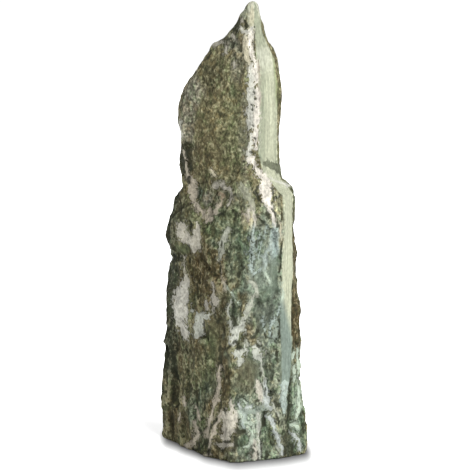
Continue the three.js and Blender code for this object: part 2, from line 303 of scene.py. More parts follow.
def normals(x, y, z):
    """The outward normals of the grid: the cross product of the steps round it and up it."""
    grid = np.stack([x, y, z], 2)
    across = np.roll(grid, -1, 0) - np.roll(grid, 1, 0)
    out = np.cross(across, np.gradient(grid, axis=1))
    return out / np.linalg.norm(out, axis=2, keepdims=True)


def smoothed(field, reach):
    """The mean over a square of the grid, reach steps each way, closed round the stone."""
    total = sum(np.roll(field, step, 0) for step in range(-reach, reach + 1))
    padded = np.pad(total, ((0, 0), (reach, reach)), mode="edge")
    total = sum(padded[:, step:step + field.shape[1]] for step in range(2 * reach + 1))
    return total / (2 * reach + 1) ** 2


def facets(x, y, z, seed, sharp=32):
    """Flats from about -1 to 1 that lean their own ways, one round each of the points strewn one
    to a lattice cell, with short risers between: the mean of the flats' heights, each weighed by
    the exponential of minus sharp times the square of the distance to its point."""
    cell = [np.floor(v) for v in (x, y, z)]
    total, weights = 0, 0
    for step in np.ndindex(3, 3, 3):
        corner = [c + s - 1 for c, s in zip(cell, step)]
        h, lean = scramble(*corner, seed), scramble(*corner, seed + 1)
        flat, off = ((h >> 5) & 1023) / 1023 - 0.5, 0
        for axis, v in enumerate((x, y, z)):
            away = v - corner[axis] - ((h >> 10 * axis) & 1023) / 1023
            flat = flat + (((lean >> 10 * axis) & 1023) / 511.5 - 1) * away
            off = off + away * away
        weight = np.exp(-sharp * off)
        total, weights = total + weight * flat, weights + weight
    return total / weights


def wandered(size, at):
    """Some points, with each coordinate of them moved by a noise of its own."""
    return [v + size["height"] * stretched(noise, dict(size, seed=size["seed"] + axis), at)
            for axis, v in enumerate(at)]


# How far in from the edges of the cleavage plane each point lies, negative outside it.
span = np.linalg.norm(np.diff(courses[NEAR_SIDE - 1:FAR_SIDE + 2], axis=0), axis=2)
slab_in = np.minimum((place - NEAR_SIDE) * np.where(place < NEAR_SIDE, span[0], span[1]),
                     (FAR_SIDE - place) * np.where(place > FAR_SIDE, span[2], span[1]))
smooth = ease(slab_in / PLANE_EDGE + 0.5)
upper = ease((z - BLOCK_TOP) / UPPER_RUN)

bare = (x, y, z)  # the points before the fine surface is laid on
bent = wandered(BEND, bare)
flake, shard = (size["height"] * stretched(facets, size, bent) * mix(1, size["upper"], upper)
                for size in (FLAKE, SHARD))
nick = NICK["height"] * (stretched(scoops, NICK, bare, uneven=NICK_UNEVEN) - NICK["mean"])
grit, groove = (size["height"] * stretched(noise, size, bare) for size in (GRIT, GROOVE))
relief = mix(flake + shard + nick + grit, groove, smooth)

# ---- The stone: its veins -----------------------------------------------------------------------
# Quartz, feldspar and calcite filled the old cracks. A vein is a route of (x, height, half width)
# along the front, in millimetres, which is laid on the skin there. One place alone is a round spot.
# The dark band over the right of the shoulder is laid on in the same way, but it is painted shadow
# under a step, not a vein.
VEINS = {
    "milk": [
        # beside the cleavage plane, and over the right of the shoulder
        [(43, 1126, 6), (43, 1108, 6), (43, 1087, 6), (48, 1070, 5), (53, 1051, 6), (56, 1031, 7),
         (57, 1005, 7), (60, 980, 6), (63, 960, 5), (61, 939, 7), (59, 919, 8), (58, 898, 9),
         (58, 877, 8), (57, 859, 7), (58, 841, 6), (57, 822, 4)],
        [(41, 799, 6), (48, 794, 10), (53, 783, 6), (60, 774, 5), (65, 763, 7), (73, 755, 8),
         (82, 745, 7), (83, 733, 14), (83, 721, 17), (86, 709, 15), (88, 697, 13), (90, 683, 9),
         (94, 669, 5), (98, 657, 4), (101, 641, 3), (105, 625, 3)],
    ],
    "cream": [
        # above the milky vein, and thin lines and spots elsewhere
        [(30, 1116, 4), (31, 1102, 6), (32, 1083, 7), (33, 1062, 6), (40, 1044, 4)],
        [(117, 638, 2), (118, 614, 2), (120, 590, 2)], [(-58, 716, 3)],
        [(-57, 761, 2), (-52, 751, 3)],
    ],
    "rose": [
        # the curved rims of the left of the shoulder
        [(-131, 812, 3), (-127, 790, 3)],
        [(-127, 777, 3), (-124, 753, 3), (-119, 739, 4), (-110, 730, 10), (-109, 713, 10),
         (-107, 695, 8), (-104, 681, 8), (-99, 670, 8), (-92, 661, 6), (-82, 657, 3)],
        [(-81, 652, 5), (-71, 644, 5), (-64, 648, 3)], [(-74, 656, 4)],
        [(-60, 655, 5), (-54, 649, 4)], [(-74, 638, 6), (-60, 639, 5)],
        [(-54, 653, 3), (-46, 655, 4), (-40, 662, 3), (-34, 673, 4), (-32, 686, 4)],
        # a pale streak under the middle of the shoulder
        [(23, 660, 3), (34, 653, 4), (38, 642, 3)],
        # down the left of the lower block, and by the foot
        [(-38, 529, 1), (-30, 511, 1), (-25, 484, 1), (-21, 457, 2)],
        [(-39, 252, 5), (-40, 228, 4), (-37, 205, 4), (-41, 182, 5), (-44, 161, 7), (-49, 142, 4),
         (-55, 122, 4), (-60, 109, 5), (-67, 87, 3), (-72, 67, 3), (-74, 53, 3)],
        [(-29, 136, 3), (-40, 111, 3), (-47, 91, 3), (-52, 70, 5), (-59, 51, 4), (-68, 27, 3)],
        [(-104, 85, 3), (-99, 68, 4), (-94, 57, 6), (-101, 40, 6), (-117, 19, 7), (-127, 8, 6)],
        [(-149, 93, 3), (-148, 71, 2)], [(-105, 129, 2), (-98, 114, 3), (-93, 100, 3)],
        [(-132, 140, 3), (-131, 117, 3)], [(-78, 5, 4), (-61, 11, 4)],
    ],
    "bone": [
        # streaks in the tan ground under the shoulder
        [(45, 681, 3), (51, 663, 5), (55, 645, 5), (55, 627, 3)], [(36, 672, 4), (43, 648, 4)],
        # the broad patch by the foot, and one over it
        [(-16, 131, 6), (-13, 111, 11), (-16, 88, 13), (-21, 65, 8)],
        [(62, 216, 5), (66, 199, 7), (69, 180, 6), (68, 164, 3)],
        [(-28, 129, 4), (-24, 112, 9), (-19, 99, 14), (-17, 79, 10), (-26, 62, 8)],
        [(-6, 166, 3), (-5, 148, 6), (-3, 125, 9), (-4, 106, 10), (-8, 90, 7)],
        [(6, 136, 5), (7, 112, 5)], [(54, 56, 5), (57, 33, 6), (58, 6, 7)],
    ],
    "chalk": [
        # the forked patch below the shoulder's left
        [(-136, 610, 10), (-135, 594, 13), (-132, 578, 13), (-120, 574, 9), (-109, 566, 11),
         (-101, 558, 10), (-105, 547, 5)],
        [(-95, 627, 3), (-97, 611, 6), (-98, 595, 9), (-98, 578, 10), (-97, 562, 9)],
        # the thread down to the long patch
        [(-130, 523, 3), (-132, 507, 3), (-133, 491, 3), (-126, 473, 3), (-127, 457, 6)],
    ],
    "pearl": [
        # the long patch down the left edge
        [(-127, 457, 8), (-133, 441, 13), (-139, 423, 19), (-141, 392, 20), (-141, 366, 20),
         (-139, 345, 19), (-134, 328, 15), (-127, 308, 9)],
    ],
    "haze": [
        # over the right of the shoulder, beyond the milky vein: a pale line on the top of the ledge,
        # partly painted highlight
        [(96, 747, 2), (109, 738, 2), (125, 729, 3), (143, 721, 4)],
        # the rim under the dark hole by the tip
        [(20, 1132, 3), (25, 1126, 4), (34, 1122, 5), (43, 1126, 5), (48, 1135, 3)],
        # a dusting along the left of the vein beside the cleavage plane
        [(48, 1046, 4), (47, 1020, 7), (45, 994, 9), (44, 967, 10), (44, 945, 11), (45, 925, 11),
         (45, 904, 10), (46, 880, 9)],
        [(47, 862, 5), (46, 842, 5), (43, 826, 6), (40, 812, 6)],
        [(-142, 886, 2), (-139, 866, 3), (-135, 845, 3)],
    ],
    "lilac": [
        # a small three-cornered patch left of the forked vein
        [(-54, 478, 2), (-53, 457, 3), (-51, 440, 6), (-48, 420, 10)], [(-39, 425, 5)],
        [(-52, 410, 4), (-54, 392, 3)], [(-70, 425, 4), (-68, 402, 5)],
        # the rim of the hollow in the shoulder, and spots by the tip and by the foot
        [(-49, 720, 4), (-41, 726, 5), (-29, 727, 8), (-18, 721, 5), (-9, 715, 3), (-3, 704, 3),
         (-4, 693, 3), (-11, 678, 3)],
        [(-52, 1086, 4), (-39, 1093, 5), (-29, 1097, 3)], [(-4, 1116, 4), (4, 1111, 5)],
        [(-21, 1083, 3), (-18, 1068, 4)], [(0, 1043, 3), (1, 1033, 3)],
        [(20, 1154, 3), (21, 1147, 3)], [(-38, 43, 5), (-19, 45, 5), (-3, 50, 5)],
    ],
    "grey": [
        # a silvery streak down the middle of the left
        [(-17, 618, 4), (-22, 594, 7), (-27, 571, 8), (-32, 551, 7), (-37, 532, 4)],
        # the forked vein in the middle of the lower block, and small patches round it
        [(43, 484, 3), (52, 473, 5), (61, 460, 5), (64, 441, 4)],
        [(59, 458, 4), (51, 443, 6), (43, 428, 6), (38, 412, 8), (32, 395, 6), (25, 378, 5)],
        [(12, 389, 3), (14, 372, 4)], [(36, 323, 3), (39, 309, 3)], [(66, 321, 4), (70, 313, 3)],
        [(73, 256, 3), (77, 243, 4), (76, 228, 3), (83, 215, 4)],
        [(101, 152, 4), (104, 138, 4), (113, 128, 3), (119, 115, 3)], [(114, 35, 3), (118, 23, 3)],
    ],
    "silver": [
        # the long patch's smaller neighbour, the lumps at the foot of the forked vein, and the
        # upright streak by the foot
        [(-64, 385, 3), (-72, 382, 6), (-85, 376, 11), (-91, 362, 12), (-95, 344, 10),
         (-97, 322, 6)],
        [(-113, 386, 4)], [(25, 378, 5), (18, 361, 9), (10, 348, 11), (1, 333, 9), (-5, 318, 5)],
        [(4, 298, 6), (16, 288, 11), (29, 296, 7), (30, 314, 4)], [(16, 276, 7), (15, 260, 3)],
        [(56, 304, 6), (64, 288, 11), (71, 277, 6), (75, 255, 3)],
        [(-4, 435, 2), (-11, 408, 2), (-10, 382, 2), (-3, 358, 2), (2, 344, 4)],
        [(67, 134, 4), (66, 99, 5), (66, 56, 5), (67, 5, 5)],
    ],
    "frost": [
        # the slanting vein by the foot
        [(91, 120, 4), (99, 106, 5), (107, 86, 5), (115, 68, 5), (122, 49, 4), (128, 26, 4),
         (128, 12, 3)],
        [(79, 208, 7), (82, 186, 9), (83, 165, 9), (88, 150, 7), (96, 136, 4)],
        [(35, 145, 4), (41, 143, 6)], [(12, 157, 3), (19, 148, 4)],
        [(158, 65, 5), (165, 51, 6), (171, 41, 5), (176, 25, 5), (181, 11, 3)],
    ],
    "ice": [
        # the brighter lines on the blue-green of the lower block
        [(98, 596, 1), (96, 580, 3), (92, 566, 4), (85, 556, 3), (81, 541, 5), (86, 526, 4),
         (83, 516, 3)],
        [(74, 545, 2), (78, 531, 3)],
        [(135, 201, 10), (134, 175, 10), (134, 153, 8), (134, 137, 5), (133, 124, 3)],
        [(17, 139, 4), (26, 127, 6), (28, 111, 6), (26, 95, 5)],
    ],
    "veil": [
        # faint lines round the blue-green and across it
        [(54, 633, 2), (52, 612, 4), (50, 591, 6), (48, 564, 6), (45, 543, 7), (45, 521, 7),
         (52, 504, 6), (64, 510, 6), (75, 514, 4)],
        [(71, 618, 1), (66, 596, 2), (60, 574, 2), (57, 556, 1)],
        [(84, 625, 3), (82, 604, 2), (77, 586, 1)], [(110, 592, 2), (105, 572, 2), (97, 551, 2)],
        [(73, 590, 1), (68, 565, 2), (64, 540, 2)], [(98, 632, 2), (104, 617, 4), (109, 600, 4)],
        [(77, 385, 3), (79, 364, 3), (82, 346, 3)],
        [(121, 412, 3), (113, 393, 3), (106, 372, 4), (100, 355, 4), (99, 334, 4)],
    ],
    "mint": [
        # thin lines in the green of the lower block
        [(79, 512, 3), (85, 497, 4), (92, 483, 4), (95, 472, 3)], [(128, 476, 2), (128, 428, 2)],
        [(-87, 702, 3), (-86, 694, 3)], [(-16, 466, 2), (-1, 449, 3), (12, 428, 3)],
        # down the right edge
        [(170, 285, 3), (172, 260, 3), (172, 236, 3), (171, 206, 3), (169, 185, 4), (169, 157, 5),
         (169, 130, 5), (168, 104, 4)],
        [(161, 243, 3), (159, 230, 4)], [(157, 220, 3), (156, 203, 2)],
        [(159, 279, 3), (158, 266, 3)], [(153, 89, 4), (164, 86, 7), (173, 78, 5)],
        # by the foot
        [(12, 139, 4), (20, 122, 5), (33, 108, 4), (49, 101, 4), (62, 101, 3)],
        [(25, 163, 3), (31, 154, 3)],
        [(49, 83, 3), (53, 67, 5), (46, 54, 4), (37, 44, 4), (27, 38, 3)],
        [(60, 109, 3), (44, 109, 3)],
    ],
    "dove": [
        # a pale peak right of the middle of the shoulder
        [(21, 735, 5), (26, 722, 10), (34, 711, 10), (41, 699, 7), (47, 686, 6), (50, 670, 5)],
    ],
    "jade": [
        # soft bluish bands
        [(33, 135, 7), (47, 133, 7), (63, 136, 7), (75, 140, 8), (86, 142, 6)],
        [(113, 370, 5), (112, 348, 6), (109, 330, 5)],
    ],
    "fawn": [
        # tan lines beside the cleavage plane, and in the hollow in the shoulder
        [(64, 1052, 2), (65, 1013, 2), (66, 975, 2), (68, 939, 2)], [(-30, 710, 4), (-30, 696, 4)],
        [(-31, 690, 3), (-33, 678, 3)],
    ],
    # painted shadow under a step: a dark band across the pale face, over the right of the shoulder
    "step_shadow": [
        [(87, 786, 8), (101, 777, 9), (124, 762, 10)],
    ],
}
# Nests of black mica, dark in part as painted shade in their pits, and how deep they go.
NEST_DEPTH = 0.002
NESTS = [
    [(30, 1151, 4), (33, 1139, 7)], [(52, 1136, 3)], [(14, 1155, 2), (7, 1141, 3), (-1, 1127, 3)],
    [(-16, 1104, 3), (-5, 1105, 3)], [(-3, 1096, 5), (-4, 1086, 4)],
    [(-62, 1073, 3), (-65, 1059, 3)], [(53, 1118, 1), (53, 1097, 1), (54, 1075, 2)],
    [(64, 1052, 0.4), (65, 1013, 0.4), (66, 975, 0.4)], [(19, 1090, 3), (19, 1076, 3)],
    [(56, 953, 4)], [(49, 934, 3)], [(61, 933, 2)], [(48, 923, 3)], [(50, 967, 3)], [(63, 887, 2)],
    [(49, 881, 2)], [(56, 854, 3)], [(53, 838, 3)], [(45, 814, 3), (56, 811, 3)],
    [(-137, 793, 3), (-135, 775, 4), (-133, 751, 4)], [(-115, 770, 4), (-114, 755, 3)],
    [(-121, 812, 3), (-122, 793, 3)], [(-91, 728, 2), (-92, 705, 3), (-90, 686, 4)],
    [(-20, 708, 4), (-16, 696, 4)], [(-52, 676, 3), (-48, 686, 2)],
    [(63, 729, 3), (60, 711, 4), (66, 694, 4), (72, 690, 3)],
    [(44, 733, 3), (47, 718, 3), (54, 708, 3)], [(101, 725, 2), (103, 707, 3), (100, 687, 3)],
    [(97, 671, 3), (104, 659, 3), (108, 649, 2)], [(87, 659, 5), (89, 649, 4)],
    [(112, 638, 2), (111, 620, 2)], [(62, 590, 3), (61, 571, 2)], [(120, 514, 3), (118, 505, 3)],
    [(124, 493, 3), (124, 481, 2)], [(14, 502, 3), (15, 491, 3)], [(-3, 387, 4), (4, 372, 6)],
    [(7, 320, 4), (13, 304, 6)], [(65, 308, 5)], [(25, 303, 2)], [(148, 341, 2)],
    [(49, 331, 4), (60, 338, 4), (67, 350, 3)], [(76, 349, 3), (83, 335, 3), (92, 328, 3)],
    [(70, 232, 5)], [(63, 163, 5)], [(105, 157, 5), (118, 145, 5)], [(89, 133, 3), (78, 129, 3)],
    [(110, 127, 3), (117, 112, 3), (120, 94, 2)], [(80, 108, 5), (77, 90, 4)], [(56, 123, 3)],
    [(42, 123, 3)], [(7, 92, 4), (12, 85, 6), (26, 84, 5)], [(-5, 73, 5)],
    [(8, 62, 5), (10, 46, 5)], [(51, 32, 2), (49, 15, 2)], [(86, 25, 4), (92, 9, 4), (78, 7, 3)],
    [(105, 41, 3)], [(137, 26, 4), (136, 12, 4)], [(153, 32, 4), (157, 15, 6), (164, 4, 5)],
    [(146, 158, 3), (147, 133, 3)], [(154, 144, 3)], [(190, 93, 3), (191, 63, 3)],
    [(-20, 140, 4), (-18, 127, 3)], [(-34, 161, 4), (-28, 145, 3)], [(-45, 112, 3), (-52, 96, 3)],
    [(-81, 102, 5)], [(-60, 92, 3), (-62, 75, 3)], [(-86, 68, 4), (-84, 54, 4)],
    [(-101, 27, 5), (-93, 16, 4), (-108, 4, 4)], [(-77, 37, 3)], [(-52, 56, 3)],
    [(-24, 52, 2), (-5, 60, 3)], [(-156, 187, 4), (-152, 174, 3)],
    [(-160, 214, 3), (-159, 196, 3)], [(114, 296, 3), (114, 278, 3)], [(26, 515, 4), (31, 500, 4)],
    [(-5, 573, 4), (-13, 554, 3)],
    # on the forked vein, and beside its small neighbour
    [(8, 372, 3)], [(19, 392, 2)], [(-2, 344, 2)], [(35, 417, 2)], [(46, 444, 2)], [(28, 377, 3)],
    [(-80, 365, 4), (-83, 338, 4)],
]
# Open cracks, and how deep they go.
CRACK_DEPTH = 0.005
CRACKS = [
    [(-113, 628, 2), (-113, 604, 2)], [(124, 581, 2), (124, 541, 2), (120, 520, 2)],
    [(150, 214, 2), (148, 177, 3), (145, 107, 3)], [(120, 368, 1), (119, 336, 1)],
    [(-163, 206, 3), (-153, 182, 5)], [(73, 80, 2), (73, 4, 2)], [(-119, 737, 3), (-118, 722, 3)],
    [(-40, 646, 3), (-30, 655, 3)],
]
DIP = 0.006  # over what width the face slopes down into either
# The finer cracks, which run along the grain, but only in places. They are narrowed to nothing
# elsewhere, on the cleavage plane and for the most part on the upper slab.
SPLIT = dict(across=0.034, along=0.190, seed=37)
SPLIT_PLACES = dict(across=0.090, along=0.110, seed=38)
SPLIT_HALF, SPLIT_DIP, SPLIT_DEPTH = 0.0012, 0.005, 0.0035
SPLIT_NARROWED = 0.010
SPLIT_UPPER = 0.7
MEANDER = dict(across=0.016, along=0.024, height=0.0045, seed=34)
DEPTH_SHARE = 0.2  # a vein runs into the rock, so it is broader on a face that turns away
FRONTAL = -0.05  # a face of the front looks forward by more than this

facing = normals(x, y, z)
skin_front = np.stack([x, y, z], 2)[facing[..., 1] < FRONTAL]
flattened = np.array([1, DEPTH_SHARE, 1])
wandering = flattened * np.stack(wandered(MEANDER, bare), 2)


def laid(route):
    """The route's places on the skin of the front, at their x and height, and its half widths, in
    metres."""
    places, widths = [], []
    for at_x, at_z, width in np.array(route) / 1000:
        off = (skin_front[:, 0] - at_x) ** 2 + (skin_front[:, 2] - at_z) ** 2
        places.append(skin_front[np.argmin(off)] * flattened)
        widths.append(width)
    return (places, widths) if len(route) > 1 else (places * 2, widths * 2)


def beyond(routes):
    """How far each point lies beyond the edge of the nearest tapering vein, negative inside it:
    the distance to the nearest place on a straight stretch, less the half width there, which is
    given too."""
    nearest, breadth = np.full(x.shape, 1.0), np.full(x.shape, 0.004)
    for places, widths in map(laid, routes):
        for start, end, here, there in zip(places[:-1], places[1:], widths[:-1], widths[1:]):
            run = end - start
            share = np.clip(((wandering - start) @ run) / max(run @ run, 1e-9), 0, 1)
            width = mix(here, there, share)
            off = np.linalg.norm(wandering - start - share[..., None] * run, axis=2) - width
            breadth = np.where(off < nearest, width, breadth)
            nearest = np.minimum(nearest, off)
    return nearest, breadth


vein_edges, vein_widths = {}, {}
for mineral, routes in VEINS.items():
    vein_edges[mineral], vein_widths[mineral] = beyond(routes)
crack_edge = beyond(CRACKS)[0]
nest_edge = beyond(NESTS)[0]
split = abs(stretched(noise, SPLIT, bent)) * SPLIT["across"]
split = split + SPLIT_NARROWED * ease(0.5 - 2 * stretched(noise, SPLIT_PLACES, bare))
split = split - SPLIT_HALF + SPLIT_NARROWED * np.maximum(smooth, SPLIT_UPPER * upper)
relief = relief - CRACK_DEPTH * ease(0.5 - crack_edge / DIP)
relief = relief - NEST_DEPTH * ease(0.5 - nest_edge / DIP) * (1 - smooth)
relief = relief - SPLIT_DEPTH * ease(0.5 - split / SPLIT_DIP)
# the finer cracks join the open ones, and are given the same painted shade
crack_edge = np.minimum(crack_edge, split)

# On the sides and the back grey veins run along the grain, in places, where a slow wave passes
# through nothing.
BACK_VEIN = dict(across=0.075, along=0.260, seed=41)
BACK_PLACES = dict(across=0.120, along=0.160, seed=42)
BACK_HALF = 0.007
BACK_KEPT_OFF = 0.030  # how far they are moved off the front
hidden = ease(facing[..., 1] / 0.3 + 0.2)  # 0 on the front, and 1 where a face looks well back
wave = abs(stretched(noise, BACK_VEIN, bare)) * BACK_VEIN["across"]
back_half = BACK_HALF * ease(stretched(noise, BACK_PLACES, bare) * 2)
vein_edges["grey"] = np.minimum(vein_edges["grey"],
                                wave - back_half + BACK_KEPT_OFF * (1 - hidden))

# ---- The stone: its mesh ------------------------------------------------------------------------
# The relief is laid on along the normals, and fades out at the saw cut. The grid of points is
# closed by a fan of faces over the tip and another on the foot.
FOOT_FADE = 0.012
FOOT_SIDEWAYS = 0.7  # the share of it that is left to the sides at the cut
HOLLOW_REACH = 4  # a hollow lies under the mean over so many steps of the grid each way
flat = np.where(z == 0, 0, ease(z / FOOT_FADE))
sideways = mix(FOOT_SIDEWAYS, 1, flat)
x = x + facing[..., 0] * relief * sideways
y = y + facing[..., 1] * relief * sideways
z = z + facing[..., 2] * relief * flat
# how deep each point lies under the mean round it, which the finish darkens as painted shade
hollow = smoothed(relief, HOLLOW_REACH) - relief
rounding = TIP_PULL * ((z - HEIGHT + TIP_ROUND) / TIP_ROUND).clip(0, 1) ** 2
x, y = (mix(side, side[:, -1].mean(), rounding) for side in (x, y))

columns, rows = x.shape
points = np.stack([x, y, z], 2).reshape(-1, 3)
tip = np.array([[x[:, -1].mean(), y[:, -1].mean(), z[:, -1].max() + TIP_RISE]])
points = np.concatenate([points, tip, [[0, 0, 0]]])
grid = np.arange(columns * rows).reshape(columns, rows)
ring = np.roll(grid, -1, 0)
quads = np.stack([grid[:, :-1], ring[:, :-1], ring[:, 1:], grid[:, 1:]], 2).reshape(-1, 4)
top_fan = np.stack([grid[:, -1], ring[:, -1], np.full(columns, columns * rows)], 1)
foot_fan = np.stack([ring[:, 0], grid[:, 0], np.full(columns, columns * rows + 1)], 1)
corners = np.concatenate([quads.ravel(), top_fan.ravel(), foot_fan.ravel()]).astype(np.int32)
sizes = np.concatenate([np.full(len(quads), 4), np.full(2 * columns, 3)])

skin = bpy.data.meshes.new("stone_skin")
skin.vertices.add(len(points))
skin.vertices.foreach_set("co", points.astype(np.float32).ravel())
skin.loops.add(len(corners))
skin.loops.foreach_set("vertex_index", corners)
skin.polygons.add(len(sizes))
starts = np.concatenate([[0], np.cumsum(sizes)[:-1]]).astype(np.int32)
skin.polygons.foreach_set("loop_start", starts)
skin.polygons.foreach_set("use_smooth", np.ones(len(sizes), bool))
skin.update(calc_edges=True)
skin.validate()

# The map that the finish is baked on: the sides unrolled from the seam, and the fans of the tip
# and the foot as two discs above them.
MAP_NAME = "OFBake"
MAP_SIDES = 0.88  # the share of the map's height that the sides take
MAP_DISCS = ((0.06, 0.94), (0.20, 0.94))
MAP_RADIUS = 0.05
turn, level = np.meshgrid(np.arange(columns), np.arange(rows - 1), indexing="ij")
sides = np.stack([turn[..., None] + [0, 1, 1, 0], level[..., None] + [0, 0, 1, 1]], 3)
sides = sides * (1 / columns, MAP_SIDES / (rows - 1))
rim = 2 * np.pi * (np.arange(columns)[:, None] + [0, 1]) / columns
rim = MAP_RADIUS * np.stack([np.cos(rim), np.sin(rim)], 2)
fans = [middle + np.concatenate([edge, np.zeros((columns, 1, 2))], 1)
        for middle, edge in zip(MAP_DISCS, (rim, rim[:, ::-1]))]
unrolled = np.concatenate([part.reshape(-1, 2) for part in [sides] + fans])
skin.uv_layers.new(name=MAP_NAME).data.foreach_set("uv", unrolled.astype(np.float32).ravel())

stone = bpy.data.objects.new("stone_skin", skin)
bpy.context.scene.collection.objects.link(stone)
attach(stone, "root")
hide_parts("stone")

# ---- The stone: its ground ----------------------------------------------------------------------
# The rock between the veins: olive mica schist, greener where chlorite gathers, brown where iron
# stains it, blue-green in the right of the lower block, and pale on the cleavage plane.
GIVEN = 0.58


def tint(red, green, blue):
    """The share of the light that the stone gives back where it looks this colour on a screen, 0
    to 255, under lamps that make a face of the front brighter than itself by one over GIVEN. The
    powers undo the curve by which a screen shows light."""
    screen = np.array([red, green, blue]) / 255
    return GIVEN * np.where(screen > 0.04045, ((screen + 0.055) / 1.055) ** 2.4, screen / 12.92)


OLIVE = tint(116, 112, 84)
MOSS = tint(96, 104, 74)
RUST = tint(96, 85, 60)
DEEP = tint(58, 60, 46)
SLATE = tint(92, 106, 88)
TEAL = tint(135, 147, 132)
ASH = tint(132, 129, 116)
STRAW = tint(152, 148, 110)
# dark green, for the painted shade down the left side
SIDE_SHADE_COLOUR = tint(56, 60, 46)
# near-black, for painted shade in a crevice
CREVICE_SHADE = tint(30, 33, 18)
CREAM = tint(191, 194, 168)
IVORY = tint(206, 207, 188)
SAGE = tint(164, 169, 145)
TAN = tint(186, 178, 146)
SEA = tint(130, 143, 132)
GRASS = tint(102, 118, 96)
MIST = tint(152, 163, 148)
UMBER = tint(84, 74, 48)
POWDER = tint(174, 190, 184)
LICHEN = tint(150, 160, 112)
# Areas of the front, each a ground, how far it takes over, and its x, height, half width and half
# height in millimetres.
AREAS = [
    (ASH, 0.70, -105, 970, 24, 40), (ASH, 0.60, -122, 880, 22, 70), (ASH, 0.55, 30, 860, 14, 100),
    (ASH, 0.40, 12, 1050, 20, 60), (DEEP, 0.45, -56, 1010, 30, 40),
    (STRAW, 0.25, -30, 900, 30, 60), (CREAM, 0.90, 52, 1168, 16, 46),
    (DEEP, 0.80, 10, 1142, 12, 22), (MOSS, 0.40, 0, 870, 34, 100), (MOSS, 0.60, -1, 973, 10, 18),
    (RUST, 0.25, -60, 900, 40, 100), (DEEP, 0.75, -12, 1110, 24, 30),
    # the first deep area here, at the left of the shoulder, is painted shade in a crevice
    (DEEP, 0.85, -120, 780, 14, 40), (DEEP, 0.45, -50, 690, 60, 50),
    (MOSS, 0.50, -40, 630, 70, 50), (MOSS, 0.70, 16, 670, 12, 16), (OLIVE, 0.50, 60, 700, 50, 60),
    (STRAW, 0.95, 104, 668, 13, 60), (UMBER, 0.85, -74, 500, 48, 85),
    (DEEP, 0.50, -150, 640, 24, 60), (TEAL, 0.85, 83, 485, 46, 165), (SLATE, 0.70, 67, 590, 9, 30),
    (SLATE, 0.60, 10, 560, 34, 80), (SLATE, 0.80, 4, 400, 16, 50), (RUST, 0.70, 49, 345, 18, 24),
    (DEEP, 0.60, 92, 410, 11, 28), (RUST, 0.60, -21, 215, 13, 100), (MOSS, 0.60, -88, 218, 24, 34),
    (TEAL, 0.45, 90, 170, 80, 160), (SLATE, 0.50, 50, 240, 50, 50), (RUST, 0.60, -165, 70, 20, 36),
    (MOSS, 0.85, -134, 546, 18, 13), (DEEP, 0.70, -85, 45, 18, 40), (SLATE, 0.80, 89, 58, 15, 65),
    (DEEP, 0.80, 157, 20, 22, 16), (SLATE, 0.70, 28, 65, 12, 20), (DEEP, 0.50, 10, 30, 30, 30),
    (RUST, 0.50, 158, 560, 10, 60), (RUST, 0.45, 170, 400, 12, 140),
    (UMBER, 0.85, 163, 370, 12, 70), (GRASS, 0.65, 163, 120, 20, 110),
    (MOSS, 0.55, 95, 60, 28, 55), (MIST, 0.75, 43, 108, 24, 30), (MIST, 0.70, 54, 40, 14, 45),
    (DEEP, 0.70, 140, 60, 12, 55), (GRASS, 0.70, 27, 50, 14, 24), (UMBER, 0.45, -22, 190, 13, 45),
    (RUST, 0.50, 32, 235, 26, 40), (DEEP, 0.55, 6, 390, 14, 36), (DEEP, 0.50, 104, 160, 14, 36),
    (MOSS, 0.60, 12, 668, 13, 18), (CREAM, 0.30, 112, 680, 10, 50), (SAGE, 0.30, 26, 690, 22, 40),
    # the near-black area at the left of the shoulder is painted shade in a crevice
    (OLIVE, 0.50, -105, 250, 30, 60), (CREVICE_SHADE, 0.90, -130, 785, 14, 50),
    (POWDER, 1.00, 107, 588, 11, 40), (SLATE, 0.90, 66, 570, 10, 22),
    (SLATE, 0.85, 74, 440, 22, 20), (SLATE, 0.45, 108, 482, 10, 40),
    (IVORY, 0.90, 52, 1178, 14, 34), (SAGE, 0.90, 28, 1172, 10, 18), (ASH, 0.60, -4, 1098, 14, 18),
    (TAN, 0.60, 36, 645, 15, 22), (GRASS, 0.85, -88, 702, 7, 14), (ASH, 0.75, -68, 687, 12, 16),
    # the ash at x -68 in the floor of the hollow in the shoulder is painted light against its shade
    # the mist low on the middle of the foot is painted light, like the lighter foot
    (MIST, 0.28, 60, 18, 60, 24), (RUST, 0.50, -105, 292, 30, 22), (ASH, 0.55, -68, 643, 12, 9),
    (POWDER, 0.22, 47, 562, 7, 60), (UMBER, 0.25, -60, 780, 60, 50), (SEA, 0.50, 172, 120, 12, 60),
    (SEA, 0.50, 90, 390, 20, 30), (DEEP, 0.58, 79, 392, 30, 40), (SLATE, 0.70, 78, 90, 13, 50),
    (TAN, 0.60, 48, 1158, 7, 30), (GRASS, 0.75, 186, 80, 14, 60),
]
# Closer-grained areas of the front: each how far it is so, and its place and size as above.
CLOSE_AREAS = [
    (0.45, 83, 500, 40, 120), (0.45, -42, 327, 28, 60), (0.60, 42, 246, 30, 36),
    (0.80, 104, 490, 12, 60), (0.50, 85, 390, 28, 36), (0.75, -134, 546, 18, 13),
]
# Patches of other grounds all over it: each a colour, a seed, how sharp its edges are, how far it
# spreads, and its shares on the upper slab and on the lower block.
PATCH = dict(across=0.070, along=0.120)
PATCHES = [(MOSS, 51, 1.6, 0.1, 0.45, 0.8), (RUST, 52, 1.6, 0, 0.35, 0.6),
           (SLATE, 53, 1.6, -0.1, 0, 0.8), (DEEP, 54, 2, -0.3, 0, 0.7)]
FUZZ = dict(across=0.018, along=0.030, height=0.5, seed=55)  # how uneven an area's edge is
FACING_BACK = 0.1  # the areas leave out the faces that look back by more than this
LOWER_SHADE = 0.80  # the lower block is the darker rock
FOOT_PAINTED_LIGHT, FOOT_LIGHT_TOP = 1.62, 0.045  # painted light: how much lighter the foot is made, against the shade near the floor, and how high


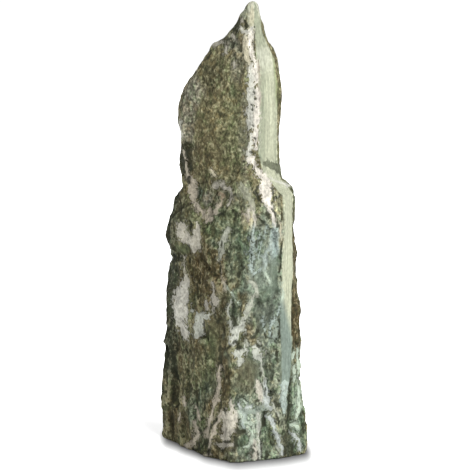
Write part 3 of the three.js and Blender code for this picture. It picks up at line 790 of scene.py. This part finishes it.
def over(ground, colour, share):
    """The ground with a share of a colour laid over it at each point."""
    return mix(ground, colour, share[..., None])


def within(at_x, at_z, wide, tall):
    """1 well inside a fuzzy ellipse on the front and 0 well outside it: one and a half less the
    distance from its middle in half widths, over nine tenths, eased."""
    off = np.hypot((x - at_x / 1000) / (wide / 1000), (z - at_z / 1000) / (tall / 1000)) * fuzzy
    return ease((1.5 - off) / 0.9) * (facing[..., 1] < FACING_BACK)


def rising(values, start, run):
    """0 up to a start and 1 from a run beyond it on, eased at both ends."""
    return ease((values - start) / run)


def falling(values, end, run):
    """1 up to a run before an end and 0 from the end on, eased at both ends."""
    return ease((end - values) / run)


lower = 1 - upper
ground = np.broadcast_to(OLIVE, x.shape + (3,))
for colour, seed, sharp, spread, above, below in PATCHES:
    patches = ease(stretched(noise, dict(PATCH, seed=seed), bare) * sharp + spread)
    ground = over(ground, colour, patches * mix(above, below, lower))
ground = ground * mix(1, LOWER_SHADE, lower)[..., None]
fuzzy = 1 + FUZZ["height"] * stretched(noise, FUZZ, (x, y, z))
for colour, strength, *area in AREAS:
    ground = over(ground, colour, strength * within(*area))
# painted light on the foot, against the shade close to the floor
ground = ground * mix(FOOT_PAINTED_LIGHT, 1, ease(z / FOOT_LIGHT_TOP))[..., None]

# The left side is darkened with painted shade, as if it turned away from the light, less so at the
# foot: from half an arris beyond the corner of the back to just short of the corner of the front.
SIDE_SHADE, SIDE_FOOT = 0.85, 0.25  # how dark it is, and the share of that at the foot
left_shade = ease((0.98 - place) / 0.12) + ease((place - len(ARRISES) + 0.6) / 0.4)
left_shade = SIDE_SHADE * left_shade * lower * mix(SIDE_FOOT, 1, rising(z, 0.150, 0.080))
ground = over(ground, SIDE_SHADE_COLOUR, left_shade)

# The cleavage plane is cream, and sage at its sides from the shoulder up. It turns to ivory and
# then to sage near the tip, has lichen on its far edge, and turns blue-grey low down. Slate-grey
# bands run up it, strongest on the left of its upper half, and it gives out above the foot.
BAND = dict(across=0.006, along=0.500, seed=56)
BAND_SHARE = (0.12, 0.45)  # how far the bands hide the plane, and how far they do where strongest
CREAM_X, CREAM_HALF = 0.094, 0.010  # the middle that stays cream, and half the width of it
SAGE_SHARE = (0.5, 0.9)  # how sage its right side is, and its left
LICHEN_REACH, LICHEN_Z, LICHEN_HALF = 0.008, 1.000, 0.060
BLUE_X, BLUE_Z, BLUE_SLOPE = 0.129, 0.470, 4  # the line, falling to the right, under which it's blue
PLANE_END, END_UNEVEN = 0.175, 0.02  # the height of its lower end, and how uneven that is
PALE_SPILL, PALE_BLUR = 0.0006, 0.0016  # how far it is pale past its edges, and how soon that fades
far_in = (FAR_SIDE - place) * span[1]
bands = stretched(noise, BAND, bare)
sage = ease(abs(x - CREAM_X) / CREAM_HALF - 0.6) * rising(z, 0.740, 0.020)
pale = over(np.broadcast_to(CREAM, ground.shape), SAGE, sage * mix(*SAGE_SHARE, x < 0.09))
pale = over(pale, IVORY, 0.6 * rising(z, 1.000, 0.050) * falling(z, 1.100, 0.030))
pale = over(pale, SAGE, rising(z, 1.083, 0.004) * 0.5)
lichen = falling(far_in, LICHEN_REACH, 0.005) * ease(1.5 - abs(z - LICHEN_Z) / LICHEN_HALF)
pale = over(pale, LICHEN, lichen * 0.8)
pale = over(pale, SEA, ease((BLUE_Z - BLUE_SLOPE * (x - BLUE_X) - z) / 0.070))
streaked = falling(x, 0.098, 0.020) * falling(z, 1.020, 0.080) * rising(z, 0.750, 0.050)
pale = over(pale, SLATE, ease(bands * 1.6) * mix(*BAND_SHARE, streaked))
ends = ease((z - PLANE_END - END_UNEVEN * bands) / 0.030)
thinning = 0.006 * falling(z, 0.320, 0.130)  # it narrows towards its lower end
ground = over(ground, pale, ease((slab_in - thinning + PALE_SPILL) / PALE_BLUR + 0.5) * ends)

# How close-grained each point is: wholly so on the plane, and in part by the right of the tip.
calm = smooth * ends
for share, *area in CLOSE_AREAS:
    calm = np.maximum(calm, share * within(*area))
calm = np.maximum(calm, 0.8 * rising(z, 1.118, 0.020) * rising(x, 0.034, 0.008))

vein_edge = np.min(list(vein_edges.values()), axis=0)
nearest = np.argmin(list(vein_edges.values()), axis=0)
vein_width = np.choose(nearest, [vein_widths[mineral] for mineral in vein_edges])
# Each mineral's colour, and how much of the rock it hides.
MINERALS = {"milk": (tint(240, 234, 220), 1.0), "cream": (tint(206, 199, 172), 0.92),
            "rose": (tint(192, 183, 164), 0.92), "bone": (tint(201, 196, 180), 0.92),
            "chalk": (tint(198, 194, 178), 1.0), "haze": (tint(218, 218, 205), 0.80),
            "silver": (tint(194, 197, 184), 0.92), "pearl": (tint(211, 209, 196), 1.0),
            "dove": (tint(166, 168, 145), 0.72), "veil": (tint(178, 192, 185), 0.42),
            "lilac": (tint(178, 174, 160), 0.80), "grey": (tint(175, 178, 162), 0.92),
            "frost": (tint(190, 197, 191), 0.88), "ice": (tint(174, 187, 178), 0.84),
            "mint": (tint(190, 204, 184), 0.86), "jade": (tint(146, 158, 145), 0.50),
            # the last, for the dark band over the shoulder, is the colour of painted shadow
            "fawn": (tint(140, 126, 104), 0.90), "step_shadow": (tint(110, 114, 94), 1.0)}
RUN_TOGETHER = 0.003  # how far from their edges the colours of two veins still mix
nearness = {mineral: np.exp(-edge / RUN_TOGETHER) for mineral, edge in vein_edges.items()}
vein_colour = sum(nearness[mineral][..., None] * MINERALS[mineral][0] for mineral in MINERALS)
vein_colour = vein_colour / sum(nearness.values())[..., None]
vein_share = sum(nearness[mineral] * MINERALS[mineral][1] for mineral in MINERALS)
vein_share = vein_share / sum(nearness.values())


def keep(name, values):
    """Keeps numbers or colours on the points of the skin, with the tip's and the foot's last."""
    colour = values.ndim == 3
    attribute = skin.attributes.new(name, "FLOAT_COLOR" if colour else "FLOAT", "POINT")
    if colour:
        flat = np.concatenate([values, np.ones(x.shape + (1,))], 2).reshape(-1, 4)
    else:
        flat = values.reshape(-1, 1)
    ends = np.stack([flat.reshape(columns, rows, -1)[:, -1].mean(0),
                     flat.reshape(columns, rows, -1)[:, 0].mean(0)])
    flat = np.concatenate([flat, ends]).astype(np.float32).ravel()
    attribute.data.foreach_set("color" if colour else "value", flat)


for name, values in dict(ground=ground, vein_colour=vein_colour, vein_edge=vein_edge,
                         vein_share=vein_share, vein_width=vein_width, nest_edge=nest_edge,
                         crack_edge=crack_edge, calm=calm, hollow=hollow).items():
    keep(name, values)

# ---- The stone: its finish ----------------------------------------------------------------------
# Grains of mica, quartz and chlorite a few millimetres across, dull between and bright on their
# flats, painted shade in the hollows, and ragged edges to the veins.
rock = bpy.data.materials.new("green_schist")
rock.use_nodes = True
rock_tree = rock.node_tree
shader = rock_tree.nodes["Principled BSDF"]


class Wire:
    """A value that runs along a link of the stone's material. Sums on it add Math nodes, and
    Wire.of adds any other node."""

    def __init__(self, socket):
        self.socket = socket

    @staticmethod
    def of(kind, settings, values, output=None):
        """A node of a kind: its settings are made, then its named sockets get their values or
        wires, and the wire of an output is given."""
        node = rock_tree.nodes.new(kind)
        for name, setting in settings.items():
            if name == "stops":
                for stop, (position, colour) in zip(node.color_ramp.elements, setting):
                    stop.position, stop.color = position, colour
            else:
                setattr(node, name, setting)
        for name, value in values.items():
            named = [s for s in node.inputs if s.name == name and s.enabled]
            socket = node.inputs[name] if isinstance(name, int) else named[0]
            if isinstance(value, Wire):
                rock_tree.links.new(value.socket, socket)
            else:
                socket.default_value = value
        outputs = [s for s in node.outputs if s.enabled and (output is None or s.name == output)]
        return Wire(outputs[0])

    def maths(self, operation, other, flipped=False):
        first, second = (other, self) if flipped else (self, other)
        return Wire.of("ShaderNodeMath", {"operation": operation}, {0: first, 1: second})

    def __add__(self, other):
        return self.maths("ADD", other)

    def __sub__(self, other):
        return self.maths("SUBTRACT", other)

    def __rsub__(self, other):
        return self.maths("SUBTRACT", other, True)

    def __mul__(self, other):
        return self.maths("MULTIPLY", other)

    def __rpow__(self, other):
        return self.maths("POWER", other, True)

    __radd__ = __add__
    __rmul__ = __mul__

    def over(self, low, high):
        """From 0 at low to 1 at high, eased at both ends."""
        return Wire.of("ShaderNodeMapRange", {"interpolation_type": "SMOOTHSTEP"},
                       {"Value": self, "From Min": low, "From Max": high})


def kept(name, output):
    """What the skin keeps under a name."""
    return Wire.of("ShaderNodeAttribute", {"attribute_name": name}, {}, output)


def blend(share, below, above, kind="MIX"):
    """A colour laid over another by a share."""
    return Wire.of("ShaderNodeMix", {"data_type": "RGBA", "blend_type": kind},
                   {"Factor": share, "A": below, "B": above})


def grains(across, along, detail=2.0, roughness=0.55, shift=0.0, curl=0.0):
    """Noise from 0 to 1 about a half, with grains of a size in metres across the stone and up
    it, and curled by its own slopes."""
    scaled = Wire.of("ShaderNodeMapping", {"vector_type": "POINT"},
                     {"Vector": spot, "Scale": (1 / across, 1 / across, 1 / along),
                      "Location": (shift, 0, 0)})
    return Wire.of("ShaderNodeTexNoise", {},
                   {"Vector": scaled, "Scale": 1.0, "Detail": detail, "Roughness": roughness,
                    "Distortion": curl}, "Fac")


def shade(colour, factor):
    """A colour made lighter or darker by a factor."""
    return Wire.of("ShaderNodeVectorMath", {"operation": "SCALE"},
                   {"Vector": colour, "Scale": factor})


# The grains: their sizes across and along the stone, how much detail each noise has, how rough it
# is, how far it is shifted, so that no two agree, and how far it curls.
GRAINS = dict(
    fine=(0.0068, 0.0092, 1.4, 0.55, 0.0, 0.3), coarse=(0.0125, 0.0180, 1.6, 0.6, 3.1, 0.4),
    clump=(0.034, 0.046, 2.0, 0.55, 6.2, 0.6), speck=(0.0048, 0.0060, 0.6, 0.5, 7.7),
    thread=(0.0035, 0.120, 2.0, 0.5, 5.3), hue=(0.015, 0.020, 2.0, 0.6, 9.9, 0.5))
spot = Wire.of("ShaderNodeTexCoord", {}, {}, "Object")
fine, coarse, clump, speck, thread, hue = (grains(*grain) for grain in GRAINS.values())
calm_here = kept("calm", "Fac")
rugged = 1 - calm_here

# How much lighter or darker the grains are than the ground, in doublings of the light: each noise
# from its middle, times its contrast. The clumps carry the finer grains more strongly.
FINE, COARSE, CLUMP = 4.4, 3.2, 2.2
UPPER_COARSE = 0.3  # how much less of the coarse grain the upper slab has
# painted shade in the hollows of the relief: the deeper a point lies, the darker it is drawn
PAINTED_HOLLOW_SHADE = 240  # a millimetre's depth darkens by a quarter
LIGHTEST = 1.1
CALM_THREAD, CALM_FINE = 1.5, 1.1
uneven = clump * 1.6 + 0.2  # 1 at the middle of the clumps
height_here = Wire.of("ShaderNodeSeparateXYZ", {}, {0: spot}, "Z")
even_coarse = 1 - height_here.over(BLOCK_TOP, BLOCK_TOP + 0.060) * UPPER_COARSE
light = ((fine - 0.5) * FINE + (coarse - 0.5) * COARSE * even_coarse) * uneven
light = light + (clump - 0.5) * CLUMP - kept("hollow", "Fac") * PAINTED_HOLLOW_SHADE
light = light.maths("MINIMUM", LIGHTEST)
calm_light = (thread - 0.5) * CALM_THREAD + (fine - 0.5) * CALM_FINE
light = light * rugged + calm_light * calm_here
matrix = shade(kept("ground", "Color"), 2 ** light)

# Worn flats, chlorite's green and iron's brown over it, bright flakes of mica, and dark pits. Each
# layer starts where a noise reaches one value and is full at another, and has the share that it
# then hides, a colour and a way of mixing.
WORN, PIT, PINHOLE = (0.24, 0.235, 0.175, 1), (0.022, 0.024, 0.013, 1), (0.016, 0.018, 0.010, 1)
CHLORITE, IRON = (0.86, 1.05, 0.86, 1), (1.12, 0.98, 0.82, 1)
FLAKE_LIGHT = 0.5  # how much lighter a bright flake is
COATS = [(light, 0.20, 1.10, 0.25, WORN, "MIX"), (hue, 0.52, 0.66, 0.60, CHLORITE, "MULTIPLY"),
          (hue, 0.48, 0.34, 0.60, IRON, "MULTIPLY")]
PITS = [(coarse, 0.43, 0.35, 0.45, PIT, "MIX"), (speck, 0.38, 0.28, 0.60, PINHOLE, "MIX")]


def layered(matrix, layers):
    """The matrix with the layers over it, but for where it is calm."""
    for grain, start, full, hides, colour, kind in layers:
        matrix = blend(grain.over(start, full) * rugged * hides, matrix, colour, kind)
    return matrix


matrix = layered(matrix, COATS)
matrix = shade(matrix, 1 + speck.over(0.60, 0.72) * rugged * FLAKE_LIGHT)
matrix = layered(matrix, PITS)

# A vein has a ragged edge, all the more where it is broad, with a dark rim that is in part painted
# shadow at its edge, and dust beyond it. Where it hides less of the rock, the rock shows through
# it as in a sieve.
RAGGED_FINE, RAGGED_COARSE = 0.022, 0.020
RAGGED_WIDTH = 130  # an edge is wholly ragged from a half width of a metre over this on
CALM_RAGGED = 0.3  # the share of it on calm ground
BLUR = 0.0014  # half the width over which an edge fades
SIEVE = (0.64, 0.78)
DUST_REACH, DUST_RAGGED, DUST_SHARE = 0.0080, 2.2, 0.5
RIM_REACH, RIM_RAGGED, RIM_SHARE = 0.0050, 0.6, 0.35
RIM_AND_SHADOW, VEIN_PIT = (0.020, 0.022, 0.014, 1), (0.20, 0.20, 0.16, 1)
VEIN_FINE, VEIN_COARSE, VEIN_CLUMP, VEIN_LIGHTEST = 2.2, 1.8, 0.8, 0.25
VEIN_PIT_SHARE = 0.45
edge = kept("vein_edge", "Fac")
loose = (kept("vein_width", "Fac") * RAGGED_WIDTH).maths("MINIMUM", 1.0)
ragged = (fine - 0.5) * RAGGED_FINE + (coarse - 0.5) * RAGGED_COARSE
ragged = ragged * loose * (rugged * (1 - CALM_RAGGED) + CALM_RAGGED)
share = kept("vein_share", "Fac")
vein_here = (edge + ragged).over(BLUR, -BLUR)
sieve = (speck * 0.5 + fine * 0.5 + share * 0.6).over(*SIEVE)
dust = (edge + ragged * DUST_RAGGED).over(DUST_REACH, 0.0) * speck.over(0.48, 0.58) * DUST_SHARE
vein_cover = (vein_here * sieve).maths("MAXIMUM", dust) * (share * 0.4 + 0.6)
rim = (edge + ragged * RIM_RAGGED).over(RIM_REACH, 0.0010) * RIM_SHARE
matrix = blend(rim * rugged, matrix, RIM_AND_SHADOW)
mottle = (fine - 0.5) * VEIN_FINE + (coarse - 0.5) * VEIN_COARSE + (clump - 0.5) * VEIN_CLUMP
mottle = mottle.maths("MINIMUM", VEIN_LIGHTEST)
quartz = shade(kept("vein_colour", "Color"), 2 ** mottle)
quartz = blend(speck.over(0.36, 0.26) * VEIN_PIT_SHARE, quartz, VEIN_PIT)
finish = blend(vein_cover, matrix, quartz)

# Nests of black mica, dark in part as painted shade, and painted shade in the open cracks lie
# dark over all of it.
MICA_AND_SHADE, CRACK_SHADE = (0.026, 0.028, 0.017, 1), (0.018, 0.020, 0.012, 1)
NEST_SHARE, CRACK_SHARE = 0.82, 0.85
CRACK_BLUR = 0.0015
nest_here = (kept("nest_edge", "Fac") + ragged * 0.5).over(BLUR, -0.0016)
finish = blend(nest_here * NEST_SHARE, finish, MICA_AND_SHADE)
crack_here = (kept("crack_edge", "Fac") + ragged * 0.25).over(CRACK_BLUR, -CRACK_BLUR)
finish = blend(crack_here * CRACK_SHARE, finish, CRACK_SHADE)
rock_tree.links.new(finish.socket, shader.inputs["Base Color"])

# Dull, less so on the flats of mica, on the quartz and on the cleavage plane.
DULL, MICA_SHINE, QUARTZ_SHINE, CALM_SHINE = 0.86, 0.35, 0.18, 0.1
dull = DULL - speck.over(0.62, 0.74) * MICA_SHINE - vein_here * QUARTZ_SHINE
dull = dull - calm_here * CALM_SHINE
rock_tree.links.new(dull.socket, shader.inputs["Roughness"])
shader.inputs["Specular IOR Level"].default_value = 0.1

BUMP_HEIGHT, CALM_BUMP = 0.004, 0.15
rise = (fine * 1.0 + coarse * 0.8 + speck * 0.35) * (rugged * (1 - CALM_BUMP) + CALM_BUMP)
bump = Wire.of("ShaderNodeBump", {}, {"Strength": 0.8, "Distance": BUMP_HEIGHT, "Height": rise})
rock_tree.links.new(bump.socket, shader.inputs["Normal"])
skin.materials.append(rock)

# ---- The floor ----------------------------------------------------------------------------------
# A plain pale floor, which is no part of the stone. A shadow is painted on it close round the
# foot, most of all before and behind it, as if the light came in from the two sides.
FLOOR_HALF = 20.0
DIM_HALF = 0.36  # the middle of the floor, which has a finer grid of so many lines
DIM_LINES = 161
DIM_REACH = (0.028, 0.150)  # how far it is dim, to the sides and to the front
DIM_SHIFT = 0.005  # and how far it is moved to the right
DIMMEST, DIM_RISE = 0.10, 1.2  # how light the dimmest of it is, and the power by which it clears
FOOT_BLUR = 6  # over how many columns each way the foot's outline is smoothed for it
FLOOR_GLOW = 0.6
lines = np.concatenate([[-FLOOR_HALF], np.linspace(-DIM_HALF, DIM_HALF, DIM_LINES), [FLOOR_HALF]])
floor_x, floor_y = (field.ravel() for field in np.meshgrid(lines, lines, indexing="ij"))
foot_x, foot_y = (np.mean([np.roll(side[:, 0], step)
                           for step in range(-FOOT_BLUR, FOOT_BLUR + 1)], 0) for side in (x, y))
away = np.hypot((floor_x[:, None] - foot_x - DIM_SHIFT) / DIM_REACH[0],
                (floor_y[:, None] - foot_y) / DIM_REACH[1]).min(1).clip(0, 1)
places = np.arange(len(floor_x)).reshape(len(lines), len(lines))
squares = np.stack([places[:-1, :-1], places[1:, :-1], places[1:, 1:], places[:-1, 1:]], 2)
floor_mesh = bpy.data.meshes.new("floor")
floor_mesh.from_pydata(np.stack([floor_x, floor_y, 0 * floor_x], 1).tolist(), [],
                       squares.reshape(-1, 4).tolist())
painted_shadow = floor_mesh.attributes.new("painted_shadow", "FLOAT", "POINT")
painted_shadow.data.foreach_set("value", mix(DIMMEST, 1, away ** DIM_RISE).astype(np.float32))
floor = bpy.data.objects.new("floor", floor_mesh)
bpy.context.scene.collection.objects.link(floor)
paint = bpy.data.materials.new("floor_paint")
paint.use_nodes = True
matt = paint.node_tree.nodes["Principled BSDF"]
matt.inputs["Emission Strength"].default_value = FLOOR_GLOW
matt.inputs["Roughness"].default_value = 1
matt.inputs["Specular IOR Level"].default_value = 0
dim = paint.node_tree.nodes.new("ShaderNodeAttribute")
dim.attribute_name = "painted_shadow"
for socket in ("Base Color", "Emission Color"):
    paint.node_tree.links.new(dim.outputs["Fac"], matt.inputs[socket])
floor_mesh.materials.append(paint)

# ---- The light ----------------------------------------------------------------------------------
# A white sky, brightest round the horizon, and a broad soft lamp high on the right of the front.
SKY_LOW, SKY_HIGH = 1.05, 0.35
SKY_FALL = (0.05, 0.30)  # the heights between which it falls from the one to the other
world = bpy.data.worlds.new("studio")
world.use_nodes = True
sky = world.node_tree
background = sky.nodes["Background"]
direction = sky.nodes.new("ShaderNodeTexCoord")
parts = sky.nodes.new("ShaderNodeSeparateXYZ")
fall = sky.nodes.new("ShaderNodeMapRange")
for name, value in zip(("From Min", "From Max", "To Min", "To Max"),
                       SKY_FALL + (SKY_LOW, SKY_HIGH)):
    fall.inputs[name].default_value = value
sky.links.new(direction.outputs["Generated"], parts.inputs["Vector"])
sky.links.new(parts.outputs["Z"], fall.inputs["Value"])
sky.links.new(fall.outputs["Result"], background.inputs["Strength"])
background.inputs["Color"].default_value = (1, 1, 1, 1)
bpy.context.scene.world = world

LAMP_BEARING = math.radians(40)  # to the right of the camera
LAMP_CLIMB = math.radians(46)
LAMP_SPREAD = math.radians(34)
LAMP_STRENGTH = 4.5
lamp_data = bpy.data.lights.new("softbox", "SUN")
lamp_data.energy = LAMP_STRENGTH
lamp_data.angle = LAMP_SPREAD
lamp = bpy.data.objects.new("softbox", lamp_data)
bpy.context.scene.collection.objects.link(lamp)
toward = Vector((math.sin(LAMP_BEARING) * math.cos(LAMP_CLIMB),
                 -math.cos(LAMP_BEARING) * math.cos(LAMP_CLIMB), math.sin(LAMP_CLIMB)))
lamp.rotation_euler = (-toward).to_track_quat("-Z", "Y").to_euler()

# ---- The camera ---------------------------------------------------------------------------------
# It stands in front of the stone at an upright person's eye level and looks a little down.
CAMERA_BACK = 4.5
CAMERA_HEIGHT = 1.25
CAMERA_PITCH = math.radians(8.329)
PICTURE_SIDE = 470
FOCAL_PIXELS = 1724.8
camera_data = bpy.data.cameras.new("camera")
camera_data.sensor_fit = "HORIZONTAL"
camera_data.sensor_width = 36
camera_data.lens = FOCAL_PIXELS / PICTURE_SIDE * camera_data.sensor_width
camera = bpy.data.objects.new("camera", camera_data)
bpy.context.scene.collection.objects.link(camera)
camera.location = (-AXIS[0], -CAMERA_BACK - AXIS[1], CAMERA_HEIGHT)
camera.rotation_euler = (math.pi / 2 - CAMERA_PITCH, 0, 0)
bpy.context.scene.camera = camera
bpy.context.scene.view_settings.view_transform = "Standard"
